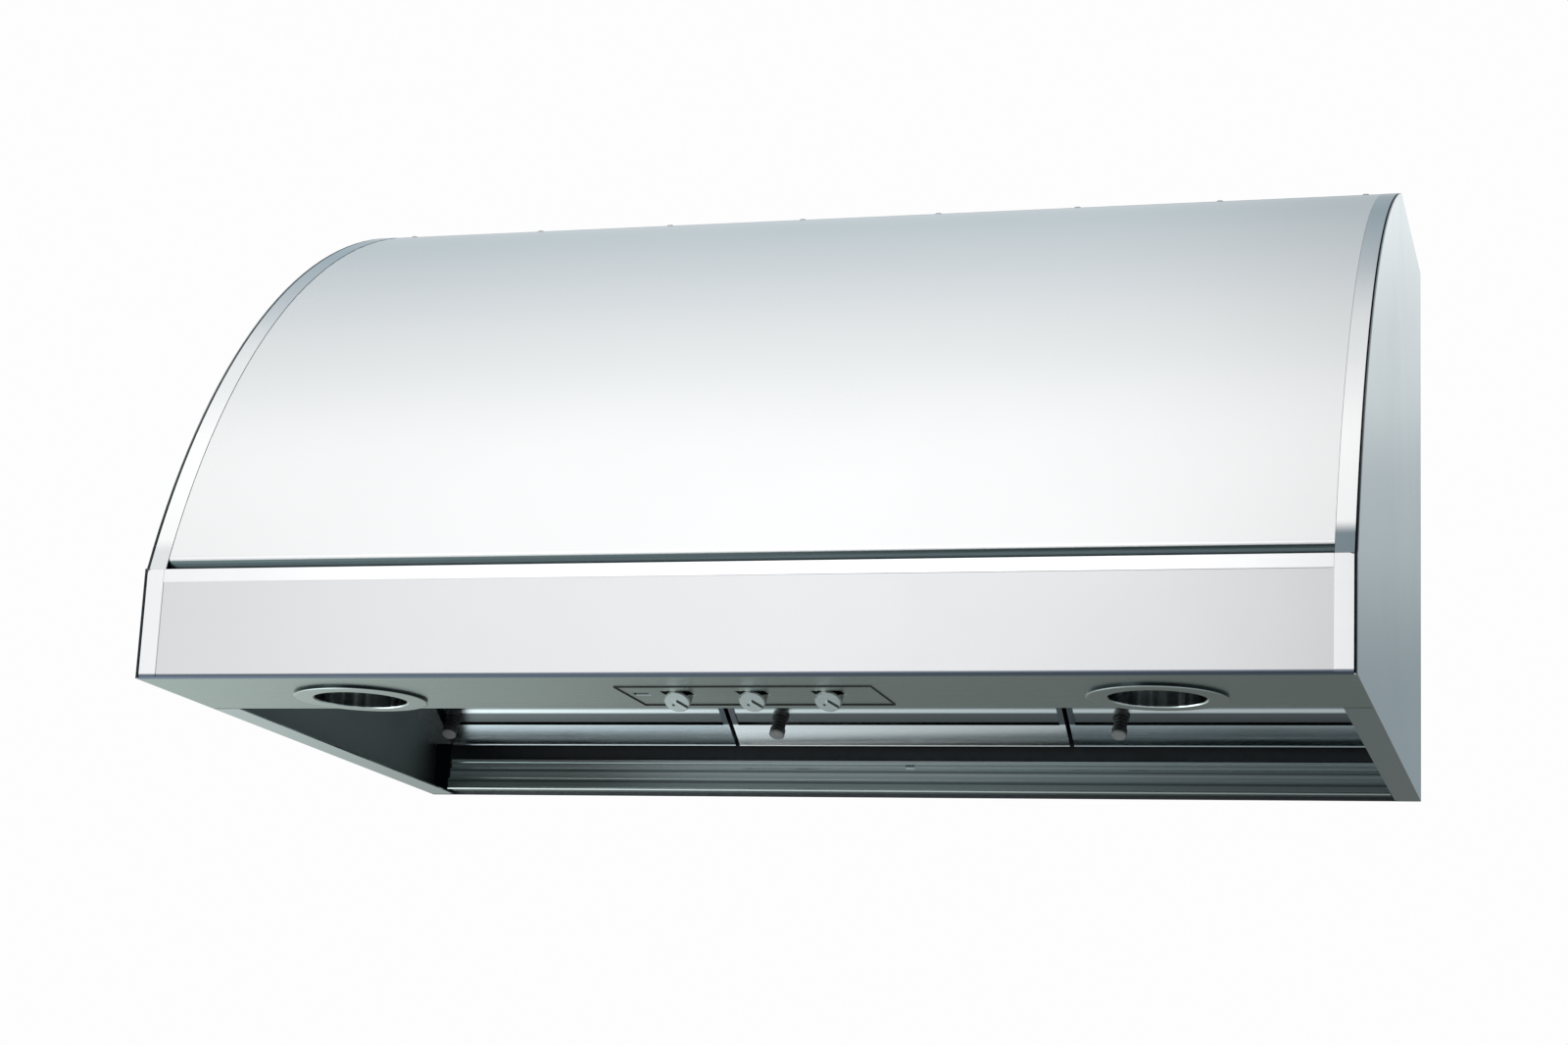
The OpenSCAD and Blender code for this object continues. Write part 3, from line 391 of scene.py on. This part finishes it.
def trim_steel(name, cx, cy=-0.416):
    """Lamp ring: satin face, painted shade on the outer wall, and painted reflections down the throat."""
    m = steel(name, (0.74, 0.80, 0.78), 0.20, "X", 0.0, 0.3, 0.02)
    net, b, x, y, z = base_of(m)
    dx, dy = net.math("SUBTRACT", x, cx), net.math("SUBTRACT", y, cy)
    r = net.math("SQRT", net.math("ADD", net.math("MULTIPLY", dx, dx), net.math("MULTIPLY", dy, dy)))
    # painted shade on the ring's outer wall
    tint(net, b, net.math("MULTIPLY", net.remap(r, 0.0505, 0.0508, 0.0, 1.0), net.remap(z, -0.4790, -0.4787, 0.0, 1.0)), (0.07, 0.08, 0.09))
    ang = net.math("ARCTAN2", dx, dy)
    # painted reflections down the throat
    painted_throat_streaks(net, b, ang, net.math("MULTIPLY", net.remap(r, 0.0358, 0.0361, 1.0, 0.0), net.remap(z, -0.4795, -0.4788, 0.0, 1.0)))
    return m


def painted_throat_streaks(net, b, ang, mask):
    # painted reflections round the throat: broad light and dark bands and one bright painted glint
    wide = net.noise(net.combine(net.math("MULTIPLY", ang, 2.3)), (1, 1, 1), 1.0, 2, 0.6)
    glint = between(net, ang, 0.30, 0.37, 0.015)
    c = net.mix(net.remap(wide, 0.40, 0.60, 0.0, 1.0, True), (0.22, 0.24, 0.25), (0.80, 0.83, 0.84))
    c = net.mix(glint, c, (0.97, 0.98, 0.98))
    net.link(net.mix(mask, b.inputs["Base Color"].links[0].from_socket, c), b.inputs["Base Color"])


def can_steel(name, cx, cy=-0.416):
    m = polished(name, (0.46, 0.49, 0.50), 0.20)
    net, b, x, y, z = base_of(m)
    ang = net.math("ARCTAN2", net.math("SUBTRACT", x, cx), net.math("SUBTRACT", y, cy))
    one = net.remap(z, -2.0, -1.9, 0.0, 1.0)
    # painted reflections round the whole can
    painted_throat_streaks(net, b, ang, one)
    return m


def edge_strip(name):
    """Polished edge strip: painted shade at its upper end and over the last few millimetres above the seam, stronger
    towards +X.
    """
    m = polished(name, (0.95, 0.96, 0.97), 0.14)
    net, b, x, y, z = base_of(m)
    # painted shade towards the upper end
    tint(net, b, net.remap(z, -0.215, -0.045, 0.0, 1.0, True), (0.54, 0.60, 0.64))
    # painted shade above the seam, stronger towards +X
    tint(net, b, net.math("MULTIPLY", net.remap(z, -0.378, -0.366, 1.0, 0.0, True), net.remap(x, -0.3, 0.44, 0.25, 1.0)), (0.22, 0.27, 0.30))
    return m


def canopy_steel(name):
    """Brushed canopy with painted shade on the turned hem along its lower edge, and a painted highlight line just above
    it.
    """
    m = steel(name, (0.80, 0.81, 0.82), 0.30, "X", 0.55, 0.16, 0.012)
    net, b, x, y, z = base_of(m)
    # painted shade on the hem
    tint(net, b, net.remap(z, -0.3852, -0.3843, 1.0, 0.0, True), (0.15, 0.20, 0.21))
    # painted highlight line above the hem
    tint(net, b, between(net, z, -0.3834, -0.3822, 0.0005), (1.12, 1.12, 1.11))
    return m


# bands of painted shade (below 1) and painted highlight (above 1), as (low mm, high mm, colour multiplier)
RAIL_LINES = [(-1.0, 0.9, (0.45, 0.45, 0.46)), (1.6, 4.4, (1.45, 1.42, 1.40)), (8.6, 10.6, (0.45, 0.46, 0.48))]
TRAY_LINES = [(9.6, 11.4, (0.40, 0.42, 0.44)), (16.2, 18.0, (1.35, 1.33, 1.32)), (18.9, 20.8, (0.45, 0.46, 0.48)),
              (22.0, 25.4, (1.35, 1.34, 1.33)), (27.6, 31.0, (1.4, 1.4, 1.4))]
BY_NODE = {
    "canopy": canopy_steel("brushed_canopy_hemmed"),
    "left_edge_strip": edge_strip("polished_edge"),
    "back_panel": back_sheet("zinc_back"),
    "front_band": shaded_lower_edge(steel("brushed_band", (0.705, 0.71, 0.725), 0.30, "X", 0.55, 0.13, 0.01)),
    "band_side_strips": shaded_lower_edge(polished("polished_band_ends", (0.95, 0.96, 0.97), 0.12)),
    "left_side_panel": side_sheet("side_sheet"),
    "filter_left_baffles": baffle_steel("satin_baffle"),
    "control_plate": plate_steel("satin_plate"),
    "rear_rail": lined_steel("satin_rail", (0.50, 0.56, 0.55), RAIL_LINES),
    "grease_tray": lined_steel("satin_tray", (0.70, 0.77, 0.77), TRAY_LINES),
    "lamp_trim_left": trim_steel("satin_trim_left", -0.308),
    "lamp_trim_right": trim_steel("satin_trim_right", 0.308),
    "lamp_can_left": can_steel("drawn_can_left", -0.308),
    "lamp_can_right": can_steel("drawn_can_right", 0.308),
    "canopy_screws": polished("plated_screw", (0.40, 0.43, 0.45), 0.25),
    # the middle frame's lighter base colour than the outer frames is painted light
    "filter_middle_frame": frame_steel("satin_frame_middle", (0.93, 0.94, 0.96), 0.22),
    "filter_left_grip": grip_plastic("moulded_grip"),
    "filter_left_frame": frame_steel("satin_frame", (0.74, 0.80, 0.84), 0.07),
}
BY_NODE["filter_middle_grip"] = BY_NODE["filter_right_grip"] = BY_NODE["filter_left_grip"]
BY_NODE["right_edge_strip"] = BY_NODE["left_edge_strip"]
BY_NODE["right_side_panel"] = BY_NODE["left_side_panel"]
BY_NODE["filter_right_frame"] = BY_NODE["filter_left_frame"]
BY_NODE["filter_middle_baffles"] = BY_NODE["filter_right_baffles"] = BY_NODE["filter_left_baffles"]
SLOT = {s["node"]: s["material_slot"] for s in frame["record"]["subparts"]}


# ---------------------------------------------------------------- CAD nodes: materials and softened edges
BEVEL = {"canopy": 0.0003, "front_band": 0.0004, "left_side_panel": 0.0003, "right_side_panel": 0.0003,
         "band_top_strip": 0.0003, "band_side_strips": 0.0003, "left_edge_strip": 0.0003, "right_edge_strip": 0.0003}
for name, ob in NODES.items():
    ob.data.materials.clear()
    ob.data.materials.append(BY_NODE.get(name) or MATS[SLOT[name]])
    for p in ob.data.polygons:
        p.use_smooth = True
    w = ob.modifiers.new("soft_edge", "BEVEL")
    w.width = BEVEL.get(name, 0.0003)
    w.segments = 2
    w.limit_method = "ANGLE"
    w.angle_limit = math.radians(35)
    w.harden_normals = True


# ---------------------------------------------------------------- dark bead round the control plate, standing in for the shade in the gap round it
def bead(name, x0, x1, y0, y1, w, z0, z1, mat):
    bm = bmesh.new()
    inner = [(x0, y0), (x1, y0), (x1, y1), (x0, y1)]
    outer = [(x0 - w, y0 - w), (x1 + w, y0 - w), (x1 + w, y1 + w), (x0 - w, y1 + w)]
    v = {(k, z): [bm.verts.new((*p, z)) for p in ring] for k, ring in (("i", inner), ("o", outer)) for z in (z0, z1)}
    for i in range(4):
        j = (i + 1) % 4
        bm.faces.new((v["o", z0][i], v["o", z0][j], v["o", z1][j], v["o", z1][i]))
        bm.faces.new((v["i", z0][j], v["i", z0][i], v["i", z1][i], v["i", z1][j]))
        bm.faces.new((v["i", z0][i], v["i", z0][j], v["o", z0][j], v["o", z0][i]))
        bm.faces.new((v["i", z1][j], v["i", z1][i], v["o", z1][i], v["o", z1][j]))
    bmesh.ops.recalc_face_normals(bm, faces=bm.faces)
    me = bpy.data.meshes.new(name)
    bm.to_mesh(me)
    bm.free()
    me.materials.append(mat)
    o = bpy.data.objects.new(name, me)
    bpy.context.scene.collection.objects.link(o)
    w_ = o.modifiers.new("soft_edge", "BEVEL")
    w_.width, w_.segments = 0.0003, 2
    return o


plate_lo, plate_hi = [Vector(c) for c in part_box("control_plate")]
px0, px1, py0, py1 = -0.088, 0.106, -0.458, -0.382
# dark bead put in as painted shade for the gap round the plate
gap_shade_bead = bead("plate_gap_shade", px0 - 0.0002, px1 + 0.0002, py0 - 0.0002, py1 + 0.0002, 0.0009, -0.4779, -0.4768, MATS["black_rubber"])
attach(gap_shade_bead, "hood")


# ---------------------------------------------------------------- camera
eul = Euler((0.224863152, -0.0448483717, 0.267419606), "XYZ").to_matrix()
right, fwd, up = eul.col[0], eul.col[1], eul.col[2]
cd = bpy.data.cameras.new("camera")
cam = bpy.data.objects.new("camera", cd)
bpy.context.scene.collection.objects.link(cam)
cd.sensor_width = 36.0
cd.sensor_fit = "HORIZONTAL"
cd.lens = 3155.219 * 36.0 / 1600.0
cd.clip_start, cd.clip_end = 0.05, 60.0
W = 0.914
pos = Vector((0.705197235 * W, -2.29016422 * W - 0.500, -0.421040486 * W - 0.477))
m3 = Matrix((right, up, -fwd)).transposed()
cam.matrix_world = Matrix.Translation(pos) @ m3.to_4x4()
bpy.context.scene.camera = cam


# ---------------------------------------------------------------- stage and light
def plane(name, size, z, mat):
    me = bpy.data.meshes.new(name)
    s = size / 2
    me.from_pydata([(-s, -s, z), (s, -s, z), (s, s, z), (-s, s, z)], [], [(0, 1, 2, 3)])
    me.materials.append(mat)
    o = bpy.data.objects.new(name, me)
    bpy.context.scene.collection.objects.link(o)
    return o


fm, fnet, fb, fco = start("pale_floor")
fcloud = fnet.noise(fco, (1, 1, 1), 1.3, 4, 0.5)
fnet.link(fnet.mix(fcloud, (0.60, 0.61, 0.61), (0.64, 0.64, 0.64)), fb.inputs["Base Color"])
fb.inputs["Roughness"].default_value = 0.7
floor = plane("studio_floor", 24.0, -1.95, fm)
floor.visible_glossy = False

world = bpy.data.worlds.new("studio")
bpy.context.scene.world = world
world.use_nodes = True
world.node_tree.nodes.clear()
wn = Net(world.node_tree)
wout = wn.add("ShaderNodeOutputWorld")
dirn = wn.add("ShaderNodeTexCoord").outputs["Generated"]
sx = wn.add("ShaderNodeSeparateXYZ")
wn.link(dirn, sx.inputs[0])
theta = wn.math("ARCTAN2", sx.outputs["Z"], sx.outputs["Y"])          # 0 at the wall side, pi at the front
tt = wn.remap(theta, 0.0, math.pi, 0.0, 1.0)
ramp = wn.add("ShaderNodeValToRGB")
ramp.color_ramp.interpolation = "EASE"
stops = [(0.00, (0.26, 0.31, 0.34)), (0.055, (0.40, 0.47, 0.50)), (0.075, (0.66, 0.73, 0.76)), (0.09, (0.98, 1.04, 1.06)),
         (0.11, (1.38, 1.42, 1.43)), (0.135, (0.78, 0.84, 0.87)), (0.16, (0.55, 0.61, 0.65)),
         (0.22, (0.53, 0.62, 0.66)), (0.34, (0.69, 0.74, 0.77)), (0.48, (0.92, 0.94, 0.94)), (0.60, (1.19, 1.19, 1.18)),
         (0.72, (1.16, 1.16, 1.15)), (0.90, (1.28, 1.28, 1.28)), (1.00, (1.19, 1.19, 1.20))]
el = ramp.color_ramp.elements
el[0].position, el[0].color = stops[0][0], (*stops[0][1], 1)
el[1].position, el[1].color = stops[-1][0], (*stops[-1][1], 1)
for p, c in stops[1:-1]:
    e = el.new(p)
    e.color = (*c, 1)
wn.link(tt, ramp.inputs[0])
across = wn.remap(sx.outputs["X"], -1.0, 1.0, 0.0, 1.0)


def level(points):
    """Grey level against the sideways part of the direction, as (x, level) pairs."""
    r = wn.add("ShaderNodeValToRGB")
    r.color_ramp.interpolation = "EASE"
    e = r.color_ramp.elements
    e[0].position, e[0].color = (points[0][0] + 1) / 2, (*[points[0][1]] * 3, 1)
    e[1].position, e[1].color = (points[-1][0] + 1) / 2, (*[points[-1][1]] * 3, 1)
    for x, v in points[1:-1]:
        k = e.new((x + 1) / 2)
        k.color = (v, v, v, 1)
    wn.link(across, r.inputs[0])
    return r.outputs[0]


above = wn.mix(1.0, ramp.outputs[0], level([(-1, .70), (-.6, .80), (-.45, .92), (-.30, 1.0), (-.17, 1.0), (-.05, .76), (.10, .66), (.40, .60), (1, .70)]), "MULTIPLY")
above = wn.mix(wn.remap(tt, 0.55, 0.92, 0.0, 1.0, True), above, wn.mix(1.0, above, level([(-1, .80), (-.50, .72), (-.44, .84), (-.38, 1.0), (-.33, .96), (-.26, 1.02), (-.18, 1.08), (-.13, 1.0), (-.07, .70), (1, .75)]), "MULTIPLY"))
above = wn.mix(wn.remap(tt, 0.10, 0.15, 1.0, 0.0, True), above, wn.mix(1.0, above, level([(-1, .42), (-.60, .48), (-.30, .55), (-.12, .80), (-.02, 1.0), (.20, 1.0), (1, .65)]), "MULTIPLY"))
below = wn.mix(1.0, (0.93, 1.04, 1.0), level([(-1, .50), (-.60, .62), (-.45, .55), (-.36, .34), (-.26, .17), (-.10, .13), (.40, .12), (1, .22)]), "MULTIPLY")
below = wn.mix(1.0, below, wn.mix(wn.remap(sx.outputs["Z"], -0.80, -0.35, 1.0, 0.0, True), (1.0, 1.0, 1.0), (3.2, 3.2, 3.4)), "MULTIPLY")
lit = wn.add("ShaderNodeBackground")
wn.link(wn.mix(wn.remap(sx.outputs["Z"], -0.10, 0.03, 0.0, 1.0, True), below, above), lit.inputs["Color"])
seen = wn.add("ShaderNodeBackground")
seen.inputs["Color"].default_value = (0.985, 0.985, 0.985, 1)
lp = wn.add("ShaderNodeLightPath")
ms = wn.add("ShaderNodeMixShader")
wn.link(lp.outputs["Is Camera Ray"], ms.inputs[0])
wn.link(lit.outputs[0], ms.inputs[1])
wn.link(seen.outputs[0], ms.inputs[2])
wn.link(ms.outputs[0], wout.inputs[0])


def softbox(name, loc, at, size, power):
    ld = bpy.data.lights.new(name, "AREA")
    ld.shape = "RECTANGLE"
    ld.size, ld.size_y = size
    ld.energy = power
    o = bpy.data.objects.new(name, ld)
    bpy.context.scene.collection.objects.link(o)
    o.location = loc
    o.rotation_euler = (Vector(at) - Vector(loc)).to_track_quat("-Z", "Y").to_euler()
    return o


overhead = softbox("overhead", (-0.5, -1.6, 3.0), (0, -0.2, -0.2), (3.0, 2.0), 26)
overhead.visible_glossy = False
low_fill = softbox("low_fill", (-1.4, -2.6, -1.2), (0, 0, -0.3), (1.6, 1.2), 4)

bpy.context.scene.view_settings.view_transform = "Standard"
bpy.context.scene.view_settings.look = "None"

bpy.context.view_layer.update()
